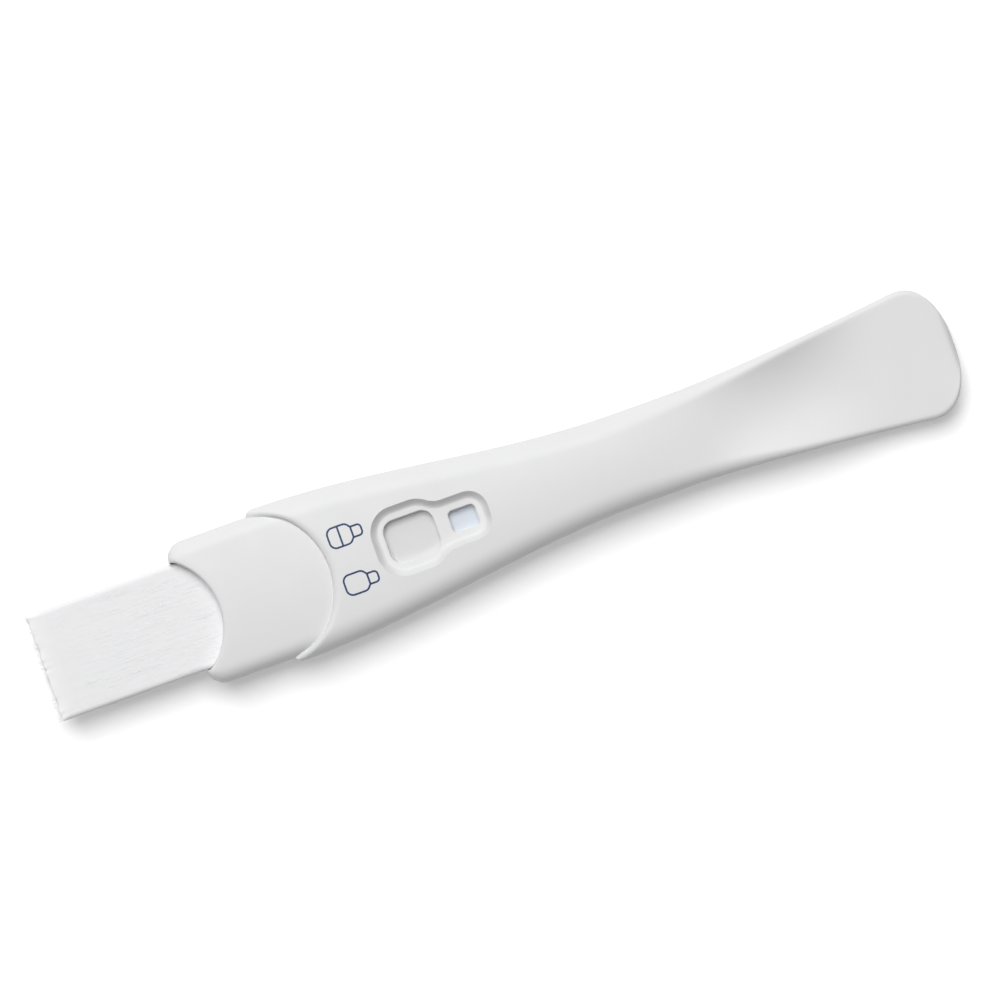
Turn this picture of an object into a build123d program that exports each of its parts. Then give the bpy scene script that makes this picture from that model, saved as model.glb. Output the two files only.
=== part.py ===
from build123d import *
import math
import os

# A midstream urine test stick: a moulded case of two shells with a cap seat at its
# nose, two windows in a recess on top and a dished thumb grip, and the test strip,
# its fibre wick and a drying tablet inside. Millimetres. X runs from the wick to
# the grip, Y across the stick, and Z up from the table that it lies on.

# Lengths along the stick
wick_reach = 23.7
nose_length = 13.2
taper_length = 58.0
waist_length = 8.0
flare_length = 36.6
tip_length = 6.4

# Widths and heights of the case
collar_width = 24.1
waist_width = 14.2
grip_width = 20.1
body_height = 9.6
grip_height = 4.8
body_crown = 0.7
grip_hollow = 0.15
dish_depth = 2.1
dish_length = 34.0
dish_setback = 3.0
fall_lead = 8.0
fall_length = 46.0
flare_power = 1.45
tip_power = 2.4
tip_edge = 1.2
tip_fullness = 0.985

# Edges of the case
shoulder_radius = 3.4
under_radius = 2.4
grip_edge_radius = 0.8
grip_under_radius = 1.5
nose_corner_radius = 2.6
inner_radius = 0.3

# Walls, the cap seat and its two hollow curves
wall = 1.3
seat_step = 0.85
collar_sweep = 9.3
collar_tip = 0.3
mouth_sweep = 5.15
mouth_half_chord = 9.0

# Window recess and the two windows
recess_start = 16.8
recess_length = 17.8
recess_width = 10.4
recess_lobe = 10.8
recess_tail_width = 7.2
recess_depth = 1.3
recess_slope = 0.9
recess_floor = 1.0
recess_corner = 3.9
recess_tail_corner = 2.9
recess_neck = 4.0
window_length = 7.8
window_width = 6.6
window_corner = 1.8
window_inset = 5.7
small_window_length = 4.2
small_window_width = 3.3
small_window_corner = 0.7
small_window_inset = 13.9
boss_margin = 0.9

# Clear window pane
pane_thickness = 0.5
pane_margin = 0.9
pane_gap = 0.1

# Test strip
strip_width = 7.6
backing_thickness = 0.3
membrane_thickness = 0.2
conjugate_thickness = 0.6
sink_thickness = 1.2
strip_lap = 1.5
membrane_lead = 5.0
membrane_tail = 3.8
conjugate_length = 14.0
wick_lap = 5.5

# Wick
wick_width = 16.7
wick_thickness = 2.2
wick_clearance = 0.3
mouth_clearance = 0.15

# Strip bed, wick bed and clamps
rib_thickness = 0.9
rib_pitch = 6.4
rail_spacing = 4.4
strip_clearance = 0.15
clamp_width = 2.6
clamp_length = 1.2
clamp_gap = 0.05

# Pegs of the bottom shell and their sockets in the top shell
peg_diameter = 2.0
peg_clearance = 0.05
peg_end_gap = 0.2
socket_wall = 1.0
socket_fill = 0.7
front_peg_spread = 7.8
grip_peg_setback = 10.7
waist_peg_place = 11.0

# Drying tablet
tablet_diameter = 9.0
tablet_thickness = 3.4
tablet_clearance = 0.2
tablet_gap = 0.2
tablet_place = 7.0
tablet_lead = 7.0
ring_wall = 0.9
ring_height = 2.0

# Places along X, with X = 0 at the middle of the stick
overall_length = (
    wick_reach + nose_length + taper_length + waist_length + flare_length + tip_length
)
wick_tip_x = -overall_length / 2
nose_x = wick_tip_x + wick_reach
collar_x = nose_x + nose_length
waist_x = collar_x + taper_length
flare_x = waist_x + waist_length
grip_x = flare_x + flare_length
end_x = grip_x + tip_length
collar_deep_x = collar_x + collar_sweep
mouth_deep_x = nose_x + mouth_sweep
recess_x = collar_x + recess_start
recess_end_x = recess_x + recess_length
window_x = recess_x + window_inset
small_window_x = recess_x + small_window_inset
fall_x = waist_x - fall_lead
fall_end_x = fall_x + fall_length
dish_end_x = grip_x - dish_setback
dish_x = dish_end_x - dish_length

# Drying tablet and pegs
socket_radius = peg_diameter / 2 + peg_clearance + socket_wall
peg_beside_strip = strip_width / 2 + strip_clearance + socket_radius
tablet_x = waist_x + tablet_place
ring_radius = tablet_diameter / 2 + tablet_clearance + ring_wall
waist_peg_x = flare_x + waist_peg_place
grip_peg_x = grip_x - grip_peg_setback

# Levels along Z
recess_z = body_height - recess_depth
boss_z = recess_z - recess_floor
membrane_top = boss_z - pane_thickness - pane_gap
membrane_z = membrane_top - membrane_thickness
backing_z = membrane_z - backing_thickness
wick_z = membrane_z - wick_thickness
wick_mid = wick_z + wick_thickness / 2

# Strip places
membrane_x = recess_x - membrane_lead
membrane_end_x = recess_end_x + membrane_tail
conjugate_end_x = membrane_x + strip_lap
conjugate_x = conjugate_end_x - conjugate_length
wick_end_x = conjugate_x + wick_lap
backing_x = wick_end_x + strip_clearance
sink_x = membrane_end_x - strip_lap
sink_end_x = tablet_x - ring_radius - tablet_lead
bed_x = backing_x + rib_thickness
rib_count = int((sink_end_x - 2 * rib_thickness - bed_x) / rib_pitch) + 1

# Cross-sections of the outside and the inside, those round the end of the grip in
# degrees, and how far a cutter runs past what it cuts
section_count = 15
inner_count = 7
tip_angles = (28, 52, 72, 90)
beyond = 5.0


def ease(x, start, finish):
    t = min(max((x - start) / (finish - start), 0.0), 1.0)
    return (1 - math.cos(math.pi * t)) / 2


def tip_share(x, start, power):
    """How much of a size is left at x on the way round the end of the grip."""
    t = min(max((x - start) / (end_x - start), 0.0), 1.0)
    return math.sqrt(1 - (tip_fullness * t) ** power)


def half_width(x):
    width = collar_width + (waist_width - collar_width) * ease(x, collar_x, waist_x)
    if x > flare_x:
        share = min((x - flare_x) / flare_length, 1.0)
        width = waist_width + (grip_width - waist_width) * share**flare_power
    return width / 2 * tip_share(x, grip_x, tip_power)


def centre_height(x):
    return body_height + (grip_height - body_height) * ease(x, fall_x, fall_end_x)


def parting_height(x):
    return wick_mid + (grip_height / 2 - wick_mid) * ease(x, fall_x, fall_end_x)


def crown(x):
    """Rise of the middle of the top above its edges, negative in the dish."""
    t = min(max((x - dish_x) / dish_length, 0.0), 1.0)
    turned = ease(x, fall_x, dish_x + dish_length / 3)
    level = body_crown * (1 - turned) - grip_hollow * turned
    return level - dish_depth * math.sin(math.pi * t) ** 2


def rounded_corner(side, top, radius, bend):
    """Centre height and top tangent point of an arc between a side and the top.

    The side stands at y = side, and the top is an arc over y = 0 of radius bend,
    below zero where it is hollow, through (side, top)."""
    hub = top - math.copysign(math.sqrt(bend**2 - side**2), bend)
    reach = math.sqrt((bend - radius) ** 2 - (side - radius) ** 2)
    middle = hub + math.copysign(reach, bend)
    scale = bend / (bend - radius)
    return middle, ((side - radius) * scale, hub + (middle - hub) * scale)


def arc_point(y, z, start, finish, radius):
    """Middle point of the arc of a corner, whose centre is (y, z)."""
    angle = (start + finish) / 2
    return (y + radius * math.cos(angle), z + radius * math.sin(angle))


def corner_edge(start, through, finish, rounded):
    return ThreePointArc(start, through, finish) if rounded else Line(start, finish)


def section(x, inset=0.0):
    """Cross-section of the case at x, drawn in by inset on every side.

    The outside has rounded edges, and the inside has plain bevels there."""
    share = tip_share(x, end_x - tip_edge, 2)
    along = ease(x, fall_x, fall_end_x)
    sharper = ease(x, fall_x, dish_end_x - dish_length / 3)
    middle = grip_height / 2
    low = middle * (1 - share) + inset
    rise = crown(x) * share
    high = middle + (centre_height(x) - middle) * share - rise - inset
    half = half_width(x) - inset
    radius = shoulder_radius + (grip_edge_radius - shoulder_radius) * sharper
    radius = max(radius * share - inset, inner_radius * share)
    under = under_radius + (grip_under_radius - under_radius) * along
    under = max(under * share - inset, inner_radius * share)
    bend = (half**2 + rise**2) / (2 * rise)
    hub, shoulder = rounded_corner(half, high, radius, bend)
    lean = math.atan2(shoulder[1] - hub, shoulder[0] - half + radius)
    turn = arc_point(half - radius, hub, 0, lean, radius)
    fold = arc_point(half - under, low + under, 0, -math.pi / 2, under)
    side_low, floor_end = (half, low + under), (half - under, low)
    outer = inset < wall
    edges = [
        Line(side_low, (half, hub)),
        corner_edge((half, hub), turn, shoulder, outer),
        ThreePointArc(shoulder, (0, high + rise), mirrored(shoulder)),
        corner_edge(mirrored(shoulder), mirrored(turn), (-half, hub), outer),
        Line((-half, hub), mirrored(side_low)),
        corner_edge(mirrored(side_low), mirrored(fold), mirrored(floor_end), outer),
        Line(mirrored(floor_end), floor_end),
        corner_edge(floor_end, fold, side_low, outer),
    ]
    return Plane.YZ.offset(x) * Face(Wire(edges))


def mirrored(point):
    return (-point[0], point[1])


def spaced(start, finish, count):
    return [start + (finish - start) * i / (count - 1) for i in range(count)]


def skin(inset, start, finish, count):
    """Solid between two places along the case, drawn in by inset."""
    return loft([section(x, inset) for x in spaced(start, finish, count)], ruled=True)


def grip_tip():
    """Rounded end of the grip, with its stations closer together towards the end."""
    places = [grip_x + tip_length * math.sin(math.radians(a)) for a in tip_angles]
    return loft([section(x) for x in [grip_x] + places], ruled=True)


def body_solid():
    return skin(0, collar_x, grip_x, section_count) + grip_tip()


def cavity_solid():
    hollow = skin(wall, collar_x, grip_x, inner_count)
    return hollow + skin(wall, grip_x, end_x - wall - tip_edge / 3, 3)


def arc_radius(half_chord, sweep):
    return (half_chord**2 + sweep**2) / (2 * sweep)


def collar_cut(margin):
    """Round cutter whose wall is the hollow curve of the collar, moved in by margin."""
    radius = arc_radius(collar_width / 2 - collar_tip, collar_sweep)
    cutter = Cylinder(radius + margin, body_height + beyond)
    return Pos(collar_deep_x - radius, 0, body_height / 2) * cutter


def nose_outline(margin):
    """Plan of the cap seat with its rounded corners and hollow front, less margin."""
    radius = arc_radius(mouth_half_chord, mouth_sweep)
    half = collar_width / 2 - seat_step - margin
    start = nose_x + margin
    length = collar_deep_x + wall + margin - start
    plan = Pos(start + length / 2, 0) * Rectangle(length, 2 * half)
    front = plan.vertices().sort_by(Axis.X)[:2]
    plan = fillet(front, nose_corner_radius - margin)
    return plan - Pos(mouth_deep_x - radius, 0) * Circle(radius + margin)


def nose_solid(margin):
    """Cap seat: the case drawn in by a step, and running on under the collar."""
    finish = collar_deep_x + wall + margin
    seat = skin(seat_step + margin, nose_x + margin, finish, 3)
    return seat & extrude(nose_outline(margin), body_height)


def outside_solid():
    return body_solid() - collar_cut(0) + nose_solid(0)


def inside_solid():
    return cavity_solid() - collar_cut(wall) + nose_solid(wall)


def block(x, y, z, length, width, height):
    """Box from x to x + length and z to z + height, centred on y."""
    return Pos(x + length / 2, y, z + height / 2) * Box(length, width, height)


def plate(start, finish, z, width, thickness):
    return block(start, 0, z, finish - start, width, thickness)


def below_parting():
    """Everything under the joint of the two shells, which dips along the grip."""
    span = fall_end_x - fall_x
    levels = (parting_height(fall_x), parting_height(fall_end_x))
    bend = Bezier(
        (fall_x, levels[0]),
        (fall_x + span / 2, levels[0]),
        (fall_end_x - span / 2, levels[1]),
        (fall_end_x, levels[1]),
    )
    rest = Polyline(
        (fall_end_x, levels[1]),
        (end_x + beyond, levels[1]),
        (end_x + beyond, -beyond),
        (nose_x - beyond, -beyond),
        (nose_x - beyond, levels[0]),
        (fall_x, levels[0]),
    )
    face = Plane.XZ * Face(Wire(bend.edges() + rest.edges()))
    return extrude(face, collar_width, both=True)


def recess_plan(grow):
    """Outline of the window recess: a broad lobe that narrows to a tail."""
    lobe = RectangleRounded(
        recess_lobe + 2 * grow, recess_width + 2 * grow, recess_corner + grow
    )
    tail_length = recess_end_x - window_x
    tail_half = recess_tail_width / 2 + grow
    tail = RectangleRounded(
        tail_length + 2 * grow, 2 * tail_half, recess_tail_corner + grow
    )
    plan = Pos(recess_x + recess_lobe / 2, 0) * lobe
    plan += Pos(recess_end_x - tail_length / 2, 0) * tail
    neck = [
        v
        for v in plan.vertices()
        if abs(abs(v.Y) - tail_half) < 0.001 and v.X < recess_x + recess_lobe + grow
    ]
    return fillet(neck, recess_neck - grow)


def recess_boss():
    """Thick roof round the recess, whose underside carries the window pane."""
    finish = recess_end_x + boss_margin
    width = recess_width + 2 * boss_margin
    return plate(recess_x - boss_margin, finish, boss_z, width, body_height - boss_z)


def recess_cut():
    """Cutter of the recess, with walls that lean out from its flat floor."""
    floor = Pos(0, 0, recess_z) * recess_plan(-recess_slope)
    rim = Pos(0, 0, recess_z + 2 * recess_depth) * recess_plan(recess_slope)
    return loft([floor, rim], ruled=True)


def window_cuts():
    large = RectangleRounded(window_length, window_width, window_corner)
    small = RectangleRounded(small_window_length, small_window_width, small_window_corner)
    plans = Pos(window_x, 0, boss_z) * large + Pos(small_window_x, 0, boss_z) * small
    return extrude(plans, body_height)


def mouth_cut():
    """Slot in the front wall that the wick comes out of."""
    start = nose_x - beyond
    finish = mouth_deep_x + 2 * wall
    height = wick_thickness + 2 * mouth_clearance
    width = wick_width + 2 * wick_clearance
    return plate(start, finish, wick_z - mouth_clearance, width, height)


def peg_places():
    """Centres of the pegs that hold the shells together."""
    between = bed_x + (rib_thickness + rib_pitch) / 2
    rear = between + rib_pitch * (rib_count - 3)
    pairs = [(between, front_peg_spread), (rear, peg_beside_strip)]
    places = [(x, side * y) for x, y in pairs for side in (-1, 1)]
    return places + [(x, 0) for x in (waist_peg_x, grip_peg_x)]


def upright(x, y, z, radius, height):
    return Pos(x, y, z + height / 2) * Cylinder(radius, height)


def peg_top(x):
    roof = centre_height(x) - wall
    return parting_height(x) + socket_fill * (roof - parting_height(x))


def pegs():
    return [
        upright(x, y, wall, peg_diameter / 2, peg_top(x) - wall) for x, y in peg_places()
    ]


def sockets():
    radius = peg_diameter / 2 + peg_clearance
    return [upright(x, y, 0, radius, peg_top(x) + peg_end_gap) for x, y in peg_places()]


def socket_bosses():
    return [upright(x, y, 0, socket_radius, body_height) for x, y in peg_places()]


def cross_rib(x, half, level, fence):
    """Rib across the floor with a raised fence at both ends of its saddle."""
    floor = wall / 2
    width = 2 * (half + rib_thickness)
    rib = block(x, 0, floor, rib_thickness, width, fence - floor)
    return rib - block(x, 0, level, rib_thickness, 2 * half, beyond)


def strip_bed():
    """Cross ribs and two rails that carry the strip's backing card."""
    half = strip_width / 2 + strip_clearance
    places = [bed_x + rib_pitch * i for i in range(rib_count)]
    bed = [cross_rib(x, half, backing_z, membrane_top) for x in places]
    floor = wall / 2
    length = rib_pitch * (rib_count - 1)
    for side in (-1, 1):
        y = side * rail_spacing / 2
        bed.append(block(bed_x, y, floor, length, rib_thickness, backing_z - floor))
    return bed


def wick_bed():
    """Ribs that carry the wick just inside the mouth."""
    half = wick_width / 2 + wick_clearance
    first = mouth_deep_x + 2 * wall
    last = wick_end_x - 2 * rib_thickness
    return [cross_rib(x, half, wick_z, wick_mid) for x in spaced(first, last, 3)]


def tablet_ring():
    ring = upright(tablet_x, 0, wall / 2, ring_radius, wall / 2 + ring_height)
    return ring - upright(tablet_x, 0, wall, ring_radius - ring_wall, body_height)


def wick_clamps():
    """Four posts under the roof that press on the wick beside the strip."""
    low = wick_z + wick_thickness + clamp_gap
    y = strip_width / 2 + strip_clearance + clamp_width / 2
    places = (conjugate_x - clamp_length, wick_end_x - 2 * clamp_length)
    return [
        block(x, side * y, low, clamp_length, clamp_width, body_height - low)
        for x in places
        for side in (-1, 1)
    ]


def tablet_stop():
    """Rib under the roof that keeps the tablet in its ring."""
    low = wall + tablet_thickness + tablet_gap
    half = tablet_diameter / 2
    return block(tablet_x, 0, low, rib_thickness, half, body_height - low)


def case_shells():
    """Top and bottom shell, each with what is moulded on its inside."""
    outside = outside_solid()
    shell = outside - inside_solid() + ((Part() + socket_bosses()) & outside)
    under = below_parting()
    roof = wick_clamps()
    roof.append(tablet_stop())
    roof.append(recess_boss())
    top = shell - under + ((Part() + roof) & outside)
    top = top - recess_cut() - window_cuts() - mouth_cut() - (Part() + sockets())
    floor = strip_bed() + wick_bed()
    floor.append(tablet_ring())
    bottom = (shell & under) + ((Part() + floor) & outside) + pegs() - mouth_cut()
    return top, bottom


def sampler_wick():
    pad = plate(wick_tip_x, wick_end_x, wick_z, wick_width, wick_thickness)
    corners = pad.edges().filter_by(Axis.Z).sort_by(Axis.X)[:2]
    return fillet(corners, wick_thickness / 2)


def lapped_pad(start, lap_start, finish, thickness):
    """Pad on the backing card that laps up over the end of the membrane."""
    side = math.copysign(thickness, start - lap_start)
    low = membrane_z
    high = membrane_z + thickness
    points = [
        (start, low),
        (lap_start, low),
        (lap_start, membrane_top),
        (finish, membrane_top),
        (finish, membrane_top + thickness),
        (lap_start, membrane_top + thickness),
        (lap_start + side, high),
        (start, high),
    ]
    face = Plane.XZ * Face(Wire(Polyline(*points, close=True).edges()))
    return extrude(face, strip_width / 2, both=True)


def window_pane():
    start = window_x - window_length / 2 - pane_margin
    finish = small_window_x + small_window_length / 2 + pane_margin
    width = window_width + 2 * pane_margin
    return plate(start, finish, boss_z - pane_thickness, width, pane_thickness)


def drying_tablet():
    return upright(tablet_x, 0, wall, tablet_diameter / 2, tablet_thickness)


def save(shape, name):
    export_step(shape, "parts/" + name + ".step")


def main():
    os.makedirs("parts", exist_ok=True)
    top, bottom = case_shells()
    backing = plate(backing_x, sink_end_x, backing_z, strip_width, backing_thickness)
    membrane = plate(
        membrane_x, membrane_end_x, membrane_z, strip_width, membrane_thickness
    )
    conjugate = lapped_pad(
        conjugate_x, membrane_x, conjugate_end_x, conjugate_thickness
    )
    sink = lapped_pad(sink_end_x, membrane_end_x, sink_x, sink_thickness)
    save(top, "top_case")
    save(bottom, "bottom_case")
    save(sampler_wick(), "sampler_wick")
    save(backing, "backing_card")
    save(membrane, "membrane")
    save(conjugate, "conjugate_pad")
    save(sink, "absorbent_pad")
    save(window_pane(), "window_pane")
    save(drying_tablet(), "desiccant_tablet")


if __name__ == "__main__":
    main()
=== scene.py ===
"""Looks of a midstream test stick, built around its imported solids.

The moulded case, its window recess, the fibre wick and the printed window guides
are made here as smooth meshes. The pieces inside keep their solids and get their
own finishes. Everything is in metres."""

import math
import random

import bmesh
import bpy
from bpy.props import FloatProperty, FloatVectorProperty, IntProperty, PointerProperty
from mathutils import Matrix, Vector, noise


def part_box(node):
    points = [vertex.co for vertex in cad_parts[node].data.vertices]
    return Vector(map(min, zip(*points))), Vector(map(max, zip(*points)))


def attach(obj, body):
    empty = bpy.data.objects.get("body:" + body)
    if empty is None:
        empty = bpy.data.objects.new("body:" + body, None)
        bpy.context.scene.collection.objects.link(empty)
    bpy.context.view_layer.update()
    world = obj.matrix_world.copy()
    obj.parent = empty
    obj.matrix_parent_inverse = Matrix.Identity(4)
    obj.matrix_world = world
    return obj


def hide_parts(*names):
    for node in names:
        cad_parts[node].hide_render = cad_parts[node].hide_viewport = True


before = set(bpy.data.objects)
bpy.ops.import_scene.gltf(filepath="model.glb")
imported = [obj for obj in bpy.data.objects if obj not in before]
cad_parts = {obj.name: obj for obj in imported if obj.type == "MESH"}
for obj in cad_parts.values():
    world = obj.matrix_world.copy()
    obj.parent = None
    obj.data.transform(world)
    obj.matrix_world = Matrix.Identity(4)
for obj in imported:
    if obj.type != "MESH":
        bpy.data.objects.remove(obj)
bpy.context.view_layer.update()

bl_info = {
    "name": "Midstream Test Stick",
    "version": (1, 0, 0),
    "blender": (4, 5, 0),
    "location": "View3D > Sidebar > Test Stick",
    "description": "Builds a midstream test stick and the studio it is shown in",
    "category": "Object",
}

BODY = "root"
WHITE = (1.0, 1.0, 1.0, 1.0)
# Values between which noise textures mostly lie
NOISE_LOW = 0.3
NOISE_HIGH = 0.7


def length(description, millimetres):
    """Length property whose default is given in millimetres."""
    return FloatProperty(
        description=description,
        default=millimetres / 1000,
        min=0.0,
        precision=5,
        unit="LENGTH",
        subtype="DISTANCE",
    )


def amount(description, default):
    return FloatProperty(description=description, default=default, min=0.0)


def share(description, default):
    return FloatProperty(
        description=description, default=default, min=0.0, max=1.0, subtype="FACTOR"
    )


def angle(description, degrees):
    return FloatProperty(
        description=description,
        default=math.radians(degrees),
        unit="ROTATION",
        subtype="ANGLE",
    )


def count(description, default):
    return IntProperty(description=description, default=default, min=1)


def colour(description, default):
    return FloatVectorProperty(
        description=description, default=default, size=3, min=0.0, max=1.0, subtype="COLOR"
    )


class TESTSTICK_PG_case(bpy.types.PropertyGroup):
    """Sizes of the moulded case"""

    nose_length: length("From the nose to the collar's tips", 13.2)
    taper_length: length("From the collar's tips to the waist", 58.0)
    waist_length: length("Straight part of the waist", 8.0)
    flare_length: length("From the waist to the widest part of the grip", 36.6)
    tip_length: length("Rounded end of the grip", 6.4)
    collar_width: length("Width of the case at its collar", 24.1)
    waist_width: length("Width of the case at its waist", 14.2)
    grip_width: length("Width of the grip", 20.1)
    body_height: length("Height of the case at the windows", 9.6)
    grip_height: length("Height of the grip", 4.8)
    body_crown: length("Rise of the top across the case", 0.7)
    grip_hollow: length("Fall of the top across the grip", 0.15)
    dish_depth: length("Depth of the thumb dish", 2.1)
    dish_length: length("Length of the thumb dish", 34.0)
    dish_setback: length("From the thumb dish to the end of the flare", 3.0)
    fall_lead: length("From where the top begins to fall to the waist", 8.0)
    fall_length: length("Length over which the top falls to the grip", 46.0)
    flare_power: amount("How late the grip widens", 1.45)
    tip_power: amount("How square the end of the grip is in plan", 2.4)
    tip_edge: length("Length over which the grip's end rounds over", 1.2)
    shoulder_radius: length("Upper edges of the body", 3.4)
    under_radius: length("Lower edges of the body", 2.4)
    grip_edge_radius: length("Upper edges of the grip", 0.8)
    grip_under_radius: length("Lower edges of the grip", 1.5)
    inner_radius: length("Smallest edge radius", 0.3)
    seat_step: length("How far the nose is set in from the collar", 0.85)
    collar_sweep: length("Depth of the collar's hollow curve", 9.3)
    collar_tip: length("Blunt end of the collar's horns", 0.3)
    collar_edge: length("Height of the collar's rounded edge", 0.8)
    collar_run: length("Length of the collar's rounded edge", 1.3)
    mouth_sweep: length("Depth of the mouth's hollow curve", 5.15)
    mouth_half_chord: length("Half width of the mouth's curve", 9.0)
    mouth_edge: length("Radius of the mouth's edge", 0.5)
    mouth_depth: length("How far the mouth's roof and floor run in", 3.0)
    mouth_clearance: length("Gap over and under the wick", 0.15)
    nose_corner: length("Corner radius of the nose in plan", 2.6)
    wall: length("Wall thickness of the shells", 1.3)
    joint_gap: length("Rounding of the two shells where they meet", 0.12)


class TESTSTICK_PG_recess(bpy.types.PropertyGroup):
    """Sizes of the window recess and the two windows"""

    start: length("From the collar's tips to the recess", 16.8)
    length: length("Length of the recess", 17.8)
    width: length("Width of the broad lobe", 10.4)
    lobe: length("Length of the broad lobe", 10.8)
    tail_width: length("Width of the narrow tail", 7.2)
    depth: length("Depth of the flat floor", 1.3)
    slope: length("How far the walls lean out", 0.9)
    softness: length("Rounding at the top and foot of the walls", 0.16)
    corner: length("Corner radius of the lobe", 3.9)
    tail_corner: length("Corner radius of the tail", 2.9)
    neck: length("Hollow radius between lobe and tail", 4.0)
    window_inset: length("From the recess to the large window's middle", 5.7)
    window_length: length("Length of the large window", 7.8)
    window_width: length("Width of the large window", 6.6)
    window_corner: length("Corner radius of the large window", 1.8)
    small_inset: length("From the recess to the small window's middle", 13.9)
    small_length: length("Length of the small window", 4.2)
    small_width: length("Width of the small window", 3.3)
    small_corner: length("Corner radius of the small window", 0.7)
    window_edge: length("Edge radius of both windows", 0.18)


class TESTSTICK_PG_wick(bpy.types.PropertyGroup):
    """Sizes of the fibre wick"""

    edge: length("Rounding of the pad's long edges", 0.7)
    edge_share: share("Most of the pad's half thickness that is rounded", 0.9)
    ripple: length("Height of the fibre bundles on the pad", 0.012)
    thinning: length("Length over which the pad thins out at its tip", 2.4)
    tip_share: amount("Share of the pad's thickness left at its tip", 0.2)
    tip_wave: length("How unevenly the pad ends at its tip", 0.7)
    # Painted light: the wick turns white towards its tip, standing in for light shining through its
    # thin fibres
    fade: length("Length over which the fibres grow paler to the tip", 4.0)
    fibre_width: length("Width of one loose fibre", 0.03)
    fibre_length: length("Length of one loose fibre", 6.0)
    tip_spread: length("Depth over which the tip's fibres end", 0.9)
    surface_fibres: count("Loose fibres that lie on the pad", 900)
    tip_fibres: count("Fibres that end at the tip", 500)
    seed: count("Seed of the fibres' places", 7)


class TESTSTICK_PG_guides(bpy.types.PropertyGroup):
    """Sizes of the printed window guides"""

    place: length("From the collar's tips to the guides", 10.65)
    offset: length("From the middle line to each guide's middle", 3.7)
    lobe: length("Length of the large window in a guide", 3.6)
    width: length("Width of the large window in a guide", 3.1)
    tail: length("Length of the small window in a guide", 1.6)
    tail_width: length("Width of the small window in a guide", 1.65)
    line: length("Width of the printed line", 0.28)
    lift: length("Height of the ink over the plastic", 0.02)


class TESTSTICK_PG_finish(bpy.types.PropertyGroup):
    """Colours of the finishes"""

    plastic: colour("Colour of the moulded case", (0.75, 0.75, 0.755))
    plastic_roughness: share("Roughness of the case", 0.5)
    wick: colour("Colour of the fibre wick", (0.85, 0.85, 0.86))
    # Membrane and small-window colours sit below white paper: partly the paper's own colour, partly
    # painted shade for the deep windows
    membrane: colour("Colour of the membrane", (0.79, 0.79, 0.795))
    control: colour("Colour under the small window", (0.81, 0.86, 0.93))
    conjugate: colour("Colour of the conjugate pad", (0.62, 0.42, 0.45))
    absorbent: colour("Colour of the absorbent pad", (0.8, 0.79, 0.76))
    backing: colour("Colour of the backing card", (0.82, 0.82, 0.81))
    tablet: colour("Colour of the drying tablet", (0.72, 0.7, 0.66))
    ink: colour("Colour of the printed guides", (0.022, 0.05, 0.135))


class TESTSTICK_PG_studio(bpy.types.PropertyGroup):
    """Floor, lamps and camera"""

    floor_size: length("Side of the floor", 1600.0)
    floor: colour("Colour of the floor", (0.93, 0.93, 0.93))
    floor_glow: amount("Brightness added where the floor is seen", 0.27)
    plain_start: length("From the stick to where the floor turns plain white", 110.0)
    sky: amount("Strength of the even light", 0.17)
    key_power: amount("Power of the main lamp in watts", 8.4)
    key_size: length("Side of the main lamp", 680.0)
    key_distance: length("From the stick to the main lamp", 900.0)
    key_height: angle("Height of the main lamp over the floor", 62.0)
    key_turn: angle("Turn of the main lamp from straight across", 6.0)
    lens: FloatProperty(description="Focal length in mm", default=150.0)
    view_width: length("Width of the picture at the stick", 150.0)
    view_turn: angle("Turn of the stick in the picture", -19.8)
    view_x: length("Place of the camera along X", 0.68)
    view_y: length("Place of the camera along Y", 0.7)


class TESTSTICK_PG_settings(bpy.types.PropertyGroup):
    """All sizes and colours of the test stick"""

    case: PointerProperty(type=TESTSTICK_PG_case)
    recess: PointerProperty(type=TESTSTICK_PG_recess)
    wick: PointerProperty(type=TESTSTICK_PG_wick)
    guides: PointerProperty(type=TESTSTICK_PG_guides)
    finish: PointerProperty(type=TESTSTICK_PG_finish)
    studio: PointerProperty(type=TESTSTICK_PG_studio)


def spaced(start, finish, number):
    """Even steps from start to finish, both ends included."""
    return [start + (finish - start) * i / (number - 1) for i in range(number)]


def ease(x, start, finish):
    t = min(max((x - start) / (finish - start), 0.0), 1.0)
    return (1 - math.cos(math.pi * t)) / 2


def arc_radius(half_chord, sweep):
    return (half_chord**2 + sweep**2) / (2 * sweep)


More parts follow.
